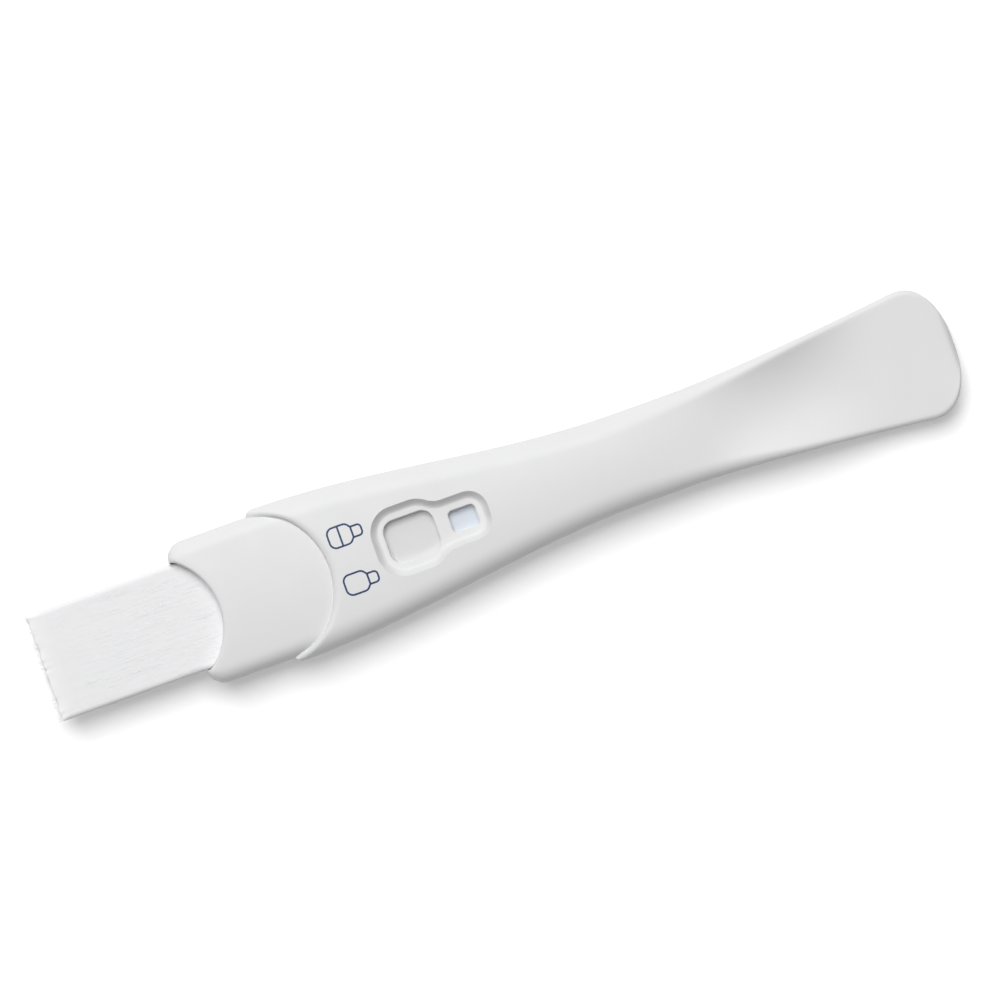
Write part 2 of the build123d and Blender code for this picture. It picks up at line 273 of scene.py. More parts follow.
class Section:
    """Cross-section of the case: half width, levels, corner arcs and top arc."""

    least_half = 1e-5
    least_rise = 1e-7
    radius_share = 0.7

    def __init__(self, form, x, inset):
        s = form.sizes
        left = form.tip_share(x, form.end_x - s.tip_edge, 2)
        along = ease(x, form.fall_x, form.fall_end_x)
        sharper = ease(x, form.fall_x, form.dish_x + s.dish_length * 2 / 3)
        middle = s.grip_height / 2
        rise = form.crown(x) * left
        if abs(rise) < self.least_rise:
            rise = math.copysign(self.least_rise, rise)
        self.left = left
        self.low = middle * (1 - left) + inset
        self.high = middle + (form.centre_height(x) - middle) * left - rise - inset
        self.half = max(form.half_width(x) - inset, self.least_half)
        shoulder = s.shoulder_radius + (s.grip_edge_radius - s.shoulder_radius) * sharper
        under = s.under_radius + (s.grip_under_radius - s.under_radius) * along
        least = s.inner_radius * left
        most = self.half * self.radius_share
        self.radius = min(max(shoulder * left - inset, least), most)
        self.under = min(max(under * left - inset, least), most)
        self.bend = (self.half**2 + rise**2) / (2 * rise)
        sign = math.copysign(1, self.bend)
        self.hub = self.high - sign * math.sqrt(self.bend**2 - self.half**2)
        reach = math.sqrt((self.bend - self.radius) ** 2 - (self.half - self.radius) ** 2)
        self.corner_z = self.hub + sign * reach
        scale = self.bend / (self.bend - self.radius)
        self.shoulder_y = (self.half - self.radius) * scale
        shoulder_z = self.hub + (self.corner_z - self.hub) * scale
        self.lean = math.atan2(
            shoulder_z - self.corner_z, self.shoulder_y - self.half + self.radius
        )

    def top(self, y):
        """Height of the top arc at y."""
        return self.hub + math.copysign(math.sqrt(self.bend**2 - y**2), self.bend)


class CaseForm:
    """Outer form of the case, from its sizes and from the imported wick's place."""

    # Points of one cross-section
    side_steps = 3
    corner_steps = 9
    arc_steps = 20
    floor_steps = 8
    # Rows along the case
    edge_rows = 6
    nose_rows = 16
    collar_rows = 14
    tip_rows = 20
    row_step = 0.0007
    # From the collar's deepest place to the first row that is straight across
    join_run = 0.003
    halvings = 22
    # Largest groove and lip as shares of the half width, and the groove's inner step
    groove_share = 0.1
    lip_share = 0.5
    groove_step = 0.3

    def __init__(self, sizes):
        s = sizes
        self.sizes = s
        self.wick_low, self.wick_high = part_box("sampler_wick")
        self.joint_z = (self.wick_low.z + self.wick_high.z) / 2
        self.nose_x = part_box("top_case")[0].x
        self.collar_x = self.nose_x + s.nose_length
        self.waist_x = self.collar_x + s.taper_length
        self.flare_x = self.waist_x + s.waist_length
        self.grip_x = self.flare_x + s.flare_length
        self.end_x = self.grip_x + s.tip_length
        self.fall_x = self.waist_x - s.fall_lead
        self.fall_end_x = self.fall_x + s.fall_length
        self.dish_x = self.grip_x - s.dish_setback - s.dish_length
        self.mouth_radius = arc_radius(s.mouth_half_chord, s.mouth_sweep)
        self.collar_radius = arc_radius(s.collar_width / 2 - s.collar_tip, s.collar_sweep)
        self.join_x = self.collar_x + s.collar_sweep + self.join_run

    def tip_share(self, x, start, power):
        t = min(max((x - start) / (self.end_x - start), 0.0), 1.0)
        return math.sqrt(max(1 - t**power, 1e-6))

    def half_width(self, x):
        s = self.sizes
        width = s.collar_width + (s.waist_width - s.collar_width) * ease(
            x, self.collar_x, self.waist_x
        )
        if x > self.flare_x:
            part = min((x - self.flare_x) / s.flare_length, 1.0)
            width = s.waist_width + (s.grip_width - s.waist_width) * part**s.flare_power
        gap = min(max(s.nose_corner - (x - self.nose_x), 0.0), s.nose_corner)
        trim = s.nose_corner - math.sqrt(s.nose_corner**2 - gap**2)
        return width / 2 * self.tip_share(x, self.grip_x, s.tip_power) - trim

    def centre_height(self, x):
        s = self.sizes
        fall = ease(x, self.fall_x, self.fall_end_x)
        return s.body_height + (s.grip_height - s.body_height) * fall

    def joint_height(self, x):
        grip_joint = self.sizes.grip_height / 2
        return self.joint_z + (grip_joint - self.joint_z) * ease(
            x, self.fall_x, self.fall_end_x
        )

    def crown(self, x):
        s = self.sizes
        t = min(max((x - self.dish_x) / s.dish_length, 0.0), 1.0)
        turned = ease(x, self.fall_x, self.dish_x + s.dish_length / 3)
        level = s.body_crown * (1 - turned) - s.grip_hollow * turned
        return level - s.dish_depth * math.sin(math.pi * t) ** 2

    def top_height(self, x, y):
        return Section(self, x, 0.0).top(y)

    def hollow(self, y, start, sweep, radius):
        """X of a hollow curve in plan, no further forward than its start."""
        return max(start, start + sweep - radius + math.sqrt(max(radius**2 - y**2, 0.0)))

    def mouth_curve(self, y):
        return self.hollow(y, self.nose_x, self.sizes.mouth_sweep, self.mouth_radius)

    def collar_curve(self, y):
        return self.hollow(y, self.collar_x, self.sizes.collar_sweep, self.collar_radius)

    def side_points(self, x, section, turn):
        """Lip and side of one shell at its joint: turn is 1 for the upper one."""
        s = self.sizes
        gap = min(s.joint_gap, section.half * self.groove_share) * section.left
        lip = min(s.wall, section.half * self.lip_share)
        joint = self.joint_height(x)
        end = section.corner_z if turn > 0 else section.low + section.under
        start = joint + turn * gap
        if (end - start) * turn < 0:
            end = start
        return [
            (section.half - lip, joint),
            (section.half - gap, joint),
            (section.half - gap * self.groove_step, joint + turn * gap * self.groove_step),
        ] + [(section.half, z) for z in spaced(start, end, self.side_steps)[:-1]]

    def roof(self, x, inset=0.0):
        """Points over the top at x, from the joint on one side to the other."""
        c = Section(self, x, inset)
        half = self.side_points(x, c, 1)
        for a in spaced(0, c.lean, self.corner_steps)[:-1]:
            half.append(
                (c.half - c.radius + c.radius * math.cos(a), c.corner_z + c.radius * math.sin(a))
            )
        half += [(y, c.top(y)) for y in spaced(c.shoulder_y, 0.0, self.arc_steps)]
        return half + [(-y, z) for y, z in reversed(half[:-1])]

    def hull(self, x, inset=0.0):
        """Points under the case at x, from the joint on one side to the other."""
        c = Section(self, x, inset)
        half = self.side_points(x, c, -1)
        for a in spaced(0, math.pi / 2, self.corner_steps)[:-1]:
            y = c.half - c.under + c.under * math.cos(a)
            half.append((y, c.low + c.under - c.under * math.sin(a)))
        half += [(y, c.low) for y in spaced(c.half - c.under, 0.0, self.floor_steps)]
        return half + [(-y, z) for y, z in reversed(half[:-1])]

    def meet(self, line, index, curve, inset, near, far):
        """X where one line along the case meets a curve in plan."""
        for _ in range(self.halvings):
            x = (near + far) / 2
            if x < curve(line(x, inset)[index][0]):
                near = x
            else:
                far = x
        return far

    def skin(self, line, places):
        """Rows of points, one for each place along the case.

        A place is X and inset for the whole row, or a list of both for each point."""
        rows = []
        for place in places:
            if isinstance(place, tuple):
                x, inset = place
                rows.append([Vector((x, y, z)) for y, z in line(x, inset)])
            else:
                rows.append(
                    [Vector((x, *line(x, inset)[i])) for i, (x, inset) in enumerate(place)]
                )
        return rows

    def front_places(self, line):
        """Places of the rows from the mouth over the collar to join_x."""
        s = self.sizes
        number = len(line(self.join_x))
        deep = self.nose_x + s.mouth_sweep + s.mouth_edge
        collar_deep = self.collar_x + s.collar_sweep + s.collar_run
        mouths = [
            self.meet(line, i, self.mouth_curve, s.seat_step, self.nose_x, deep)
            for i in range(number)
        ]
        collars = [
            self.meet(line, i, self.collar_curve, 0.0, self.collar_x, collar_deep)
            for i in range(number)
        ]
        noses = [m + s.mouth_edge for m in mouths]
        fronts = [c + s.collar_run for c in collars]
        rows = self.rounded_edge(mouths, s.mouth_edge, s.mouth_edge, s.seat_step)
        for t in spaced(0, 1, self.nose_rows)[1:]:
            rows.append([(n + (c - n) * t, s.seat_step) for n, c in zip(noses, collars)])
        rows += self.rounded_edge(collars, s.collar_run, s.collar_edge, 0.0)
        for t in spaced(0, 1, self.collar_rows)[1:]:
            rows.append([(f + (self.join_x - f) * t, 0.0) for f in fronts])
        return rows

    def rounded_edge(self, starts, run, height, inset):
        """Places of the rows over an edge that is rounded over a run and a height."""
        rows = []
        for a in spaced(0, math.pi / 2, self.edge_rows):
            x, drop = run * (1 - math.cos(a)), height * (1 - math.sin(a))
            rows.append([(start + x, inset + drop) for start in starts])
        return rows

    def back_places(self, stops):
        """Places of the rows from join_x to the end of the grip, stopping at stops."""
        rows = []
        marks = [self.join_x] + stops + [self.grip_x]
        for start, finish in zip(marks, marks[1:]):
            number = round((finish - start) / self.row_step) + 1
            rows += [(x, 0.0) for x in spaced(start, finish, number)[1:]]
        for a in spaced(0, math.pi / 2, self.tip_rows)[1:]:
            rows.append((self.grip_x + self.sizes.tip_length * math.sin(a), 0.0))
        return rows


class RecessForm:
    """Plan of the window recess, drawn with the same arcs at every offset."""

    def __init__(self, sizes, case_form):
        s = sizes
        self.sizes = s
        self.x = case_form.collar_x + s.start
        self.end_x = self.x + s.length
        self.window_x = self.x + s.window_inset
        self.small_x = self.x + s.small_inset
        self.floor_z = case_form.sizes.body_height - s.depth

    def outline(self, grow):
        """Closed outline in plan, moved out by grow."""
        s = self.sizes
        return lobed_outline(
            self.x, self.end_x, s.lobe, s.width, s.tail_width, s.corner, s.tail_corner, s.neck, grow
        )

    def window(self, grow, small):
        s = self.sizes
        if small:
            size = (s.small_length, s.small_width, s.small_corner)
            return rounded_rectangle(self.small_x, *size, grow)
        return rounded_rectangle(
            self.window_x, s.window_length, s.window_width, s.window_corner, grow
        )


def arc(centre, radius, start, finish, number):
    return [
        (centre[0] + radius * math.cos(a), centre[1] + radius * math.sin(a))
        for a in spaced(math.radians(start), math.radians(finish), number)
    ]


def straight(start, finish, number):
    """Points between two points, without the ends."""
    return [
        (start[0] + (finish[0] - start[0]) * t, start[1] + (finish[1] - start[1]) * t)
        for t in spaced(0, 1, number + 2)[1:-1]
    ]


def joined(parts, number):
    """Arcs joined by straight runs of points into half an outline."""
    points = list(parts[0])
    for part in parts[1:]:
        points += straight(points[-1], part[0], number) + list(part)
    return points


def both_sides(half):
    """Whole outline from its upper half, whose ends lie on the middle line."""
    return half + [(x, -y) for x, y in reversed(half[1:-1])]


def lobed_outline(start, end, lobe, width, tail_width, corner, tail_corner, neck, grow):
    """Broad lobe that narrows through hollow curves to a tail."""
    front = (start + corner, width / 2 - corner)
    rear = (start + lobe - corner, width / 2 - corner)
    rise = tail_width / 2 + neck - rear[1]
    run = math.sqrt((corner + neck) ** 2 - rise**2)
    hollow = (rear[0] + run, rear[1] + rise)
    turn = math.degrees(math.atan2(rise, run))
    tail = (end - tail_corner, tail_width / 2 - tail_corner)
    parts = [
        [(start - grow, 0.0)],
        arc(front, corner + grow, 180, 90, 13),
        arc(rear, corner + grow, 90, turn, 7),
        arc(hollow, neck - grow, turn + 180, 270, 7)[1:],
        arc(tail, tail_corner + grow, 90, 0, 11),
        [(end + grow, 0.0)],
    ]
    return both_sides(joined(parts, 3))


def rounded_rectangle(middle, length, width, corner, grow):
    radius = corner + grow
    front = (middle - length / 2 + corner, width / 2 - corner)
    rear = (middle + length / 2 - corner, width / 2 - corner)
    parts = [
        [(front[0] - radius, 0.0)],
        arc(front, radius, 180, 90, 7),
        arc(rear, radius, 90, 0, 7),
        [(rear[0] + radius, 0.0)],
    ]
    return both_sides(joined(parts, 5))


class MeshMaker:
    """Collects rows of points into one smooth mesh object."""

    def __init__(self):
        self.bm = bmesh.new()

    def row(self, points):
        return [self.bm.verts.new(p) for p in points]

    def bridge(self, row, other, closed=False, skip=None):
        """Quads between two rows of the same length."""
        last = len(row) if closed else len(row) - 1
        for i in range(last):
            k = (i + 1) % len(row)
            if skip and skip(i):
                continue
            self.bm.faces.new((row[i], row[k], other[k], other[i]))

    def sheet(self, rows, closed=False):
        """Quads between each row and the next one."""
        for row, other in zip(rows, rows[1:]):
            self.bridge(row, other, closed)

    def loop_edges(self, row):
        """Edges round a closed row, made where they aren't there yet."""
        edges = []
        for a, b in zip(row, row[1:] + row[:1]):
            edge = self.bm.edges.get((a, b))
            edges.append(edge if edge else self.bm.edges.new((a, b)))
        return edges

    def fill(self, loops):
        """Triangles between an outer loop and the loops inside it."""
        edges = [edge for row in loops for edge in self.loop_edges(row)]
        bmesh.ops.triangle_fill(
            self.bm, use_beauty=True, use_dissolve=False, edges=edges, normal=(0, 0, 1)
        )

    def finish(self, name, sharp=40.0):
        """Makes the object, with its faces pointing out and shaded smooth."""
        bmesh.ops.remove_doubles(self.bm, verts=self.bm.verts, dist=2e-7)
        bmesh.ops.recalc_face_normals(self.bm, faces=self.bm.faces)
        mesh = bpy.data.meshes.new(name)
        self.bm.to_mesh(mesh)
        self.bm.free()
        mesh.shade_smooth()
        mesh.set_sharp_from_angle(angle=math.radians(sharp))
        obj = bpy.data.objects.new(name, mesh)
        bpy.context.scene.collection.objects.link(obj)
        return obj


# Shares of the mouth's wall height at which its rows lie
WALL_SHARES = (0.3, 0.65, 1.0)


def mouth_wall(maker, edge, slot_z, rising, depth):
    """Wall between the mouth's edge and the wick's slot, and the slot's own face."""
    pick = max if rising else min
    ends = [pick(v.co.z, slot_z) for v in edge]
    rows = [edge]
    for t in WALL_SHARES:
        points = [(v.co.x, v.co.y, v.co.z + (z - v.co.z) * t) for v, z in zip(edge, ends)]
        rows.append(maker.row(points))
    rows.append(maker.row([(v.co.x + depth, v.co.y, z) for v, z in zip(edge, ends)]))
    maker.sheet(rows)


class Nodes:
    """Nodes of one node tree, added and joined."""

    def __init__(self, node_tree):
        self.nodes = node_tree.nodes
        self.links = node_tree.links

    def add(self, kind, values=None, joins=None, **settings):
        """New node with its settings, the values of its inputs and what joins them."""
        node = self.nodes.new("ShaderNode" + kind)
        for name, value in settings.items():
            setattr(node, name, value)
        for name, value in (values or {}).items():
            node.inputs[name].default_value = value
        for name, output in (joins or {}).items():
            self.links.new(output, node.inputs[name])
        return node

    def mixed(self, part, first, second):
        """Shader that goes from the first to the second as part goes to 1."""
        return self.add("MixShader", joins={0: part, 1: first, 2: second}).outputs["Shader"]

    def seen_share(self):
        """1 for rays from the camera and for those that gloss or glass send on."""
        path = self.add("LightPath").outputs
        seen = path["Is Camera Ray"]
        for name in ("Is Glossy Ray", "Is Transmission Ray"):
            larger = self.add("Math", joins={0: seen, 1: path[name]}, operation="MAXIMUM")
            seen = larger.outputs["Value"]
        return seen


class Tree(Nodes):
    """Node tree of one new material, with its shader and object coordinates."""

    def __init__(self, name, values):
        """values are those of the shader's inputs."""
        self.material = bpy.data.materials.new(name)
        self.material.use_nodes = True
        super().__init__(self.material.node_tree)
        self.shader = self.nodes["Principled BSDF"]
        self.output = self.nodes["Material Output"]
        for key, value in values.items():
            self.shader.inputs[key].default_value = value
        self.place = self.add("TexCoord").outputs["Object"]

    def noise(self, size, stretch=(1.0, 1.0, 1.0), detail=3.0):
        """Noise whose grains measure size, times stretch on each axis."""
        scale = [1 / (size * s) for s in stretch]
        grid = self.add("Mapping", {"Scale": scale}, {"Vector": self.place}).outputs["Vector"]
        texture = self.add("TexNoise", {"Scale": 1.0, "Detail": detail}, {"Vector": grid})
        return texture.outputs["Fac"]

    def ramp(self, value, dark, light):
        """Colour between dark and light as noise goes from low to high."""
        ramp = self.add("ValToRGB", joins={"Fac": value})
        ends = ramp.color_ramp.elements
        ends[0].position, ends[1].position = NOISE_LOW, NOISE_HIGH
        ends[0].color, ends[1].color = (*dark, 1.0), (*light, 1.0)
        return ramp.outputs["Color"]

    def span(self, value, low, high, start=NOISE_LOW, finish=NOISE_HIGH, **settings):
        """Number that goes from low to high as value goes from start to finish."""
        ends = {"From Min": start, "From Max": finish, "To Min": low, "To Max": high}
        return self.add("MapRange", ends, {"Value": value}, **settings).outputs["Result"]

    def along(self, start, finish):
        """Number that goes softly from 0 to 1 between two places along X."""
        x = self.add("SeparateXYZ", joins={"Vector": self.place}).outputs["X"]
        return self.span(x, 0.0, 1.0, start, finish, interpolation_type="SMOOTHSTEP")

    def blend(self, part, first, second):
        """Colour that goes from a first colour to the second as part goes to 1."""
        joins = {"Factor": part, "B": second}
        return self.add("Mix", {"A": (*first, 1.0)}, joins, data_type="RGBA").outputs["Result"]

    def bump(self, value, depth, strength, under=None):
        """Bump of a depth in metres, on top of the bump under it."""
        joins = {"Height": value, "Normal": under} if under else {"Height": value}
        return self.add("Bump", {"Strength": strength, "Distance": depth}, joins).outputs["Normal"]

    def join(self, output, name):
        self.links.new(output, self.shader.inputs[name])

    def show(self, shader):
        """Makes a shader's output the look of the material."""
        self.links.new(shader, self.output.inputs["Surface"])


def shade(base, factor):
    """Colour made darker or lighter by a factor."""
    return [c * factor for c in base]


def moulded_plastic(name, base, roughness):
    """Satin moulded plastic with a fine spark-eroded grain and faint flow clouds."""
    cloud_size, patch_size, grain_size = 0.012, 0.0035, 0.00022
    patch_depth, grain_depth = 0.00003, 0.000012
    cloud_shade, roughness_swing = 0.985, 0.05
    tree = Tree(name, {"Roughness": roughness, "IOR": 1.5, "Specular IOR Level": 0.35})
    clouds = tree.noise(cloud_size, detail=2.0)
    tree.join(tree.ramp(clouds, shade(base, cloud_shade), base), "Base Color")
    grain = tree.noise(grain_size, detail=2.0)
    patches = tree.noise(patch_size, detail=4.0)
    rough = tree.span(patches, roughness - roughness_swing, roughness + roughness_swing)
    tree.join(rough, "Roughness")
    wave = tree.bump(patches, patch_depth, 0.35)
    tree.join(tree.bump(grain, grain_depth, 0.6, wave), "Normal")
    return tree.material


def fibre_finish(name, base, along=60.0, tip=None):
    """White matt fibres that run along X, in bundles and single strands.

    They grow paler towards the tip, which is two places along X: a painted glow that stands in for
    light shining through the thin fibres there."""
    bundle_size, strand_size = 0.0006, 0.00012
    bundle_depth, strand_depth = 0.00003, 0.00001
    dark, light = 0.98, 1.01
    tree = Tree(
        name,
        {
            "Roughness": 0.95,
            "Sheen Weight": 0.2,
            "Sheen Roughness": 0.5,
            "Specular IOR Level": 0.2,
        },
    )
    bundles = tree.noise(bundle_size, (along / 6, 1.0, 1.0), 4.0)
    strands = tree.noise(strand_size, (along, 1.0, 1.0), 3.0)
    tint = tree.ramp(strands, shade(base, dark), shade(base, light))
    if tip:
        # Painted glow: white at the tip, turning to the fibre colour further back
        tint = tree.blend(tree.along(*tip), WHITE[:3], tint)
    tree.join(tint, "Base Color")
    soft = tree.bump(bundles, bundle_depth, 0.4)
    tree.join(tree.bump(strands, strand_depth, 0.5, soft), "Normal")
    return tree.material


def porous_finish(name, base, grain_size, roughness=0.85, contrast=0.06, ahead=None):
    """Matt sheet or pressed stuff with a fine grain.

    ahead is a colour, and the two places along X between which it turns to the base."""
    grain_relief = 0.2
    tree = Tree(name, {"Roughness": roughness, "Specular IOR Level": 0.25})
    grain = tree.noise(grain_size, detail=5.0)
    tint = tree.ramp(grain, shade(base, 1 - contrast), base)
    if ahead:
        other, start, finish = ahead
        tint = tree.blend(tree.along(start, finish), other, tint)
    tree.join(tint, "Base Color")
    tree.join(tree.bump(grain, grain_size * grain_relief, 0.5), "Normal")
    return tree.material


def clear_plastic(name):
    """Thin clear plate that lets the strip show and carries a soft reflection."""
    roughness, refraction = 0.08, 1.49
    scratch_size, scratch_depth = 0.0004, 0.000004
    tree = Tree(name, {})
    clear = tree.add("BsdfTransparent", {"Color": WHITE})
    scratches = tree.noise(scratch_size, (4.0, 1.0, 1.0), 2.0)
    bump = tree.bump(scratches, scratch_depth, 0.3)
    gloss = tree.add("BsdfAnisotropic", {"Roughness": roughness}, {"Normal": bump})
    edge = tree.add("Fresnel", {"IOR": refraction})
    tree.show(tree.mixed(edge.outputs["Fac"], clear.outputs["BSDF"], gloss.outputs["BSDF"]))
    tree.nodes.remove(tree.shader)
    return tree.material


def dress(obj, material):
    """Gives an object one material in all its slots."""
    obj.data.materials.clear()
    obj.data.materials.append(material)


class TESTSTICK_OT_bottom_case(bpy.types.Operator):
    """Build the smooth lower shell of the case"""

    bl_idname = "teststick.bottom_case"
    bl_label = "Bottom Case"

    def execute(self, context):
        settings = context.scene.test_stick
        s = settings.case
        form = CaseForm(s)
        places = form.front_places(form.hull) + form.back_places([])
        maker = MeshMaker()
        rows = [maker.row(points) for points in form.skin(form.hull, places)]
        maker.sheet(rows)
        mouth_wall(maker, rows[0], form.wick_low.z - s.mouth_clearance, True, s.mouth_depth)
        shell = maker.finish("bottom_case_shell")
        finish = settings.finish
        dress(shell, moulded_plastic("Bottom Plastic", finish.plastic, finish.plastic_roughness))
        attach(shell, BODY)
        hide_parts("bottom_case")
        return {"FINISHED"}


class TESTSTICK_OT_top_case(bpy.types.Operator):
    """Build the smooth upper shell with its window recess and two windows"""

    bl_idname = "teststick.top_case"
    bl_label = "Top Case"

    # Hole left for the recess: its first line of points and its free border
    hole_line = 15
    hole_border = 0.001
    # Recess wall: its rows, and how early it falls and how gently it ends
    wall_rows = 13
    wall_start = 1.2
    wall_foot = 2.1
    window_edge_rows = 6

    def execute(self, context):
        settings = context.scene.test_stick
        s = settings.case
        form = CaseForm(s)
        recess = RecessForm(settings.recess, form)
        margin = settings.recess.softness + self.hole_border
        stops = [recess.x - margin, recess.end_x + margin]
        places = form.front_places(form.roof) + form.back_places(stops)
        whole = [(i, place[0]) for i, place in enumerate(places) if isinstance(place, tuple)]
        marks = [min(whole, key=lambda pair: abs(pair[1] - stop))[0] for stop in stops]
        maker = MeshMaker()
        rows = [maker.row(points) for points in form.skin(form.roof, places)]
        last = len(rows[0]) - 1 - self.hole_line
        for i, (row, other) in enumerate(zip(rows, rows[1:])):
            if marks[0] <= i < marks[1]:
                maker.bridge(row, other, skip=lambda k: self.hole_line <= k < last)
            else:
                maker.bridge(row, other)
        mouth_wall(maker, rows[0], form.wick_high.z + s.mouth_clearance, False, s.mouth_depth)
        between = rows[marks[0] + 1 : marks[1]]
        frame_loop = (
            rows[marks[0]][self.hole_line : last + 1]
            + [row[last] for row in between]
            + rows[marks[1]][self.hole_line : last + 1][::-1]
            + [row[self.hole_line] for row in between][::-1]
        )
        self.recess_rings(maker, form, recess, frame_loop)
        shell = maker.finish("top_case_shell")
        finish = settings.finish
        dress(shell, moulded_plastic("Top Plastic", finish.plastic, finish.plastic_roughness))
        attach(shell, BODY)
        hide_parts("top_case")
        return {"FINISHED"}

    def recess_rings(self, maker, form, recess, frame_loop):
        """Rings down the recess wall, its flat floor and the two window edges."""
        s = recess.sizes
        rings = []
        for t in spaced(0, 1, self.wall_rows):
            grow = s.softness - t * (s.slope + 2 * s.softness)
            level = 1 - (1 - t**self.wall_start) ** self.wall_foot
            points = []
            for x, y in recess.outline(grow):
                top = form.top_height(x, y)
                points.append((x, y, top + (recess.floor_z - top) * level))
            rings.append(maker.row(points))
        maker.sheet(rings, closed=True)
        maker.fill([frame_loop, rings[0]])
        windows = [self.window_rings(maker, recess, small) for small in (False, True)]
        maker.fill([rings[-1]] + windows)

    def window_rings(self, maker, recess, small):
        """Rounded edge and wall of one window. Returns its ring on the floor."""
        edge = recess.sizes.window_edge
        steps = []
        for a in spaced(0, math.pi / 2, self.window_edge_rows):
            steps.append((edge * (1 - math.sin(a)), recess.floor_z - edge * (1 - math.cos(a))))
        steps.append((0.0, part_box("membrane")[1].z))
        rings = []
        for grow, z in steps:
            rings.append(maker.row([(x, y, z) for x, y in recess.window(grow, small)]))
        maker.sheet(rings, closed=True)
        return rings[0]


class TESTSTICK_OT_wick(bpy.types.Operator):
    """Build the fibre wick: a soft pad with loose fibres on it and at its tip"""

    bl_idname = "teststick.wick"
    bl_label = "Wick"

    # Rows of the pad at its tip and behind it
    tip_rows = 13
    pad_rows = 100
    tip_gap = 0.0004
    # Points of the pad's cross-section
    corner_steps = 6
    face_steps = 72
    side_steps = 2
    # Waves per metre of bundles and strands, along and across them
    bundles = (90, 1100)
    strands = (220, 3200)
    # Two noises that make the tip ragged: where each is taken, and its waves per metre
    tip_tufts = ((0, 500), (9, 1700))
    strand_share = 0.5
    # Loose fibres: shares of their length and width, and how deep they lie
    length_range = (0.4, 1.2)
    sunk_range = (0.2, 0.5)
    tuck = 0.004
    tuck_share = 0.6
    tip_root = 0.15
    above = (1, 1, 1, -1)
    # One fibre: its stations, its sides, how thick its ends are and how far it sways
    stations = (0.0, 0.25, 0.5, 0.75, 1.0)
    fibre_sides = 3
    end_share = 0.35
    end_cut = 0.02
    sway = 2
    lift_range = (0.2, 1.0)

    def execute(self, context):
        settings = context.scene.test_stick
        s = settings.wick
        random.seed(s.seed)
        low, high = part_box("sampler_wick")
        pad = self.pad(s, low, high)
        fibres = self.fibres(s, low, high)
        tint = settings.finish.wick
        # Span of the painted glow at the wick's tip
        tip = (low.x, low.x + s.fade)
        dress(pad, fibre_finish("Wick Felt", tint, tip=tip))
        # The loose fibres take a lighter copy of the pad's colour: painted light that lifts the
        # shade among them
        dress(fibres, fibre_finish("Wick Fibres", shade(tint, 1.04), tip=tip))
        for piece in (pad, fibres):
            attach(piece, BODY)
        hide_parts("sampler_wick")
        return {"FINISHED"}

    def pad(self, s, low, high):
        """Pad with rounded long edges, rippled by the bundles of fibre in it."""
        half_y, half_z = (high.y - low.y) / 2, (high.z - low.z) / 2
        middle_z = (high.z + low.z) / 2
        tip = low.x + s.tip_spread
        places = [tip + s.thinning * t for t in spaced(0, 1, self.tip_rows)]
        places += spaced(places[-1] + self.tip_gap, high.x, self.pad_rows)
        maker = MeshMaker()
        rows = []
        for x in places:
            row = []
            loose = max(1 - (x - tip) / s.thinning, 0.0) ** 2
            for y, z in self.pad_outline(s, half_y, half_z * self.thickness(s, x - tip)):
                ragged = sum(noise.noise(Vector((at, y * waves, 0))) for at, waves in self.tip_tufts)
                shift = loose * s.tip_wave / 2 * ragged
                bundle, strand = [
                    noise.noise(Vector((x * along, y * across, z * across)))
                    for along, across in (self.bundles, self.strands)
                ]
                swell = 1 + (bundle + self.strand_share * strand) * s.ripple / half_z / 2
                row.append((x + shift, y, middle_z + z * swell))
            rows.append(maker.row(row))
        maker.sheet(rows, closed=True)
        for end in (rows[0], rows[-1]):
            maker.bm.faces.new(end)
        return maker.finish("sampler_wick_pad", sharp=75.0)

    def thickness(self, s, depth):
        """Share of the pad's thickness at a depth behind its tip."""
        turn = math.pi / 2 * min(max(depth / s.thinning, 0.0), 1.0)
        return s.tip_share + (1 - s.tip_share) * math.sin(turn)

    def pad_outline(self, s, half_y, half_z):
        """Cross-section of the pad: flat faces and rounded long edges."""
        r = min(s.edge, half_z * s.edge_share)
        full = []
        corners = [
            arc((half_y - r, half_z - r), r, 0, 90, self.corner_steps),
            arc((-half_y + r, half_z - r), r, 90, 180, self.corner_steps),
            arc((-half_y + r, -half_z + r), r, 180, 270, self.corner_steps),
            arc((half_y - r, -half_z + r), r, 270, 360, self.corner_steps),
        ]
        steps = (self.face_steps, self.side_steps) * 2
        for corner, after, number in zip(corners, corners[1:] + corners[:1], steps):
            full += corner + straight(corner[-1], after[0], number)
        return full

    def fibres(self, s, low, high):
        """Loose fibres on the pad's faces and long edges, and past its tip."""
        maker = MeshMaker()
        out_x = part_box("top_case")[0].x + self.tuck
        half_y = (high.y - low.y) / 2
        middle_z, half_z = (high.z + low.z) / 2, (high.z - low.z) / 2
        for _ in range(s.surface_fibres):
            length_x = s.fibre_length * random.uniform(*self.length_range)
            x = random.uniform(low.x + s.thinning, out_x - length_x * self.tuck_share)
            y = random.uniform(-1, 1) * half_y
            side = random.choice(self.above)
            face = high.z if side > 0 else low.z
            drop = s.edge * max(abs(y) - half_y + s.edge, 0.0) ** 2 / s.edge**2
            z = face - side * (drop + s.fibre_width * random.uniform(*self.sunk_range))
            self.strand(maker, s, (x, y, z), length_x, s.fibre_width, side)
        for _ in range(s.tip_fibres):
            y = random.uniform(-1, 1) * (half_y - s.fibre_width)
            z = middle_z + random.uniform(-1, 1) * half_z * s.tip_share
            end = low.x + s.tip_spread * random.random()
            start = low.x + s.tip_spread + s.thinning * self.tip_root
            self.strand(maker, s, (start, y, z), end - start, s.fibre_width, random.choice((1, -1)))
        return maker.finish("sampler_wick_fibres", sharp=180.0)

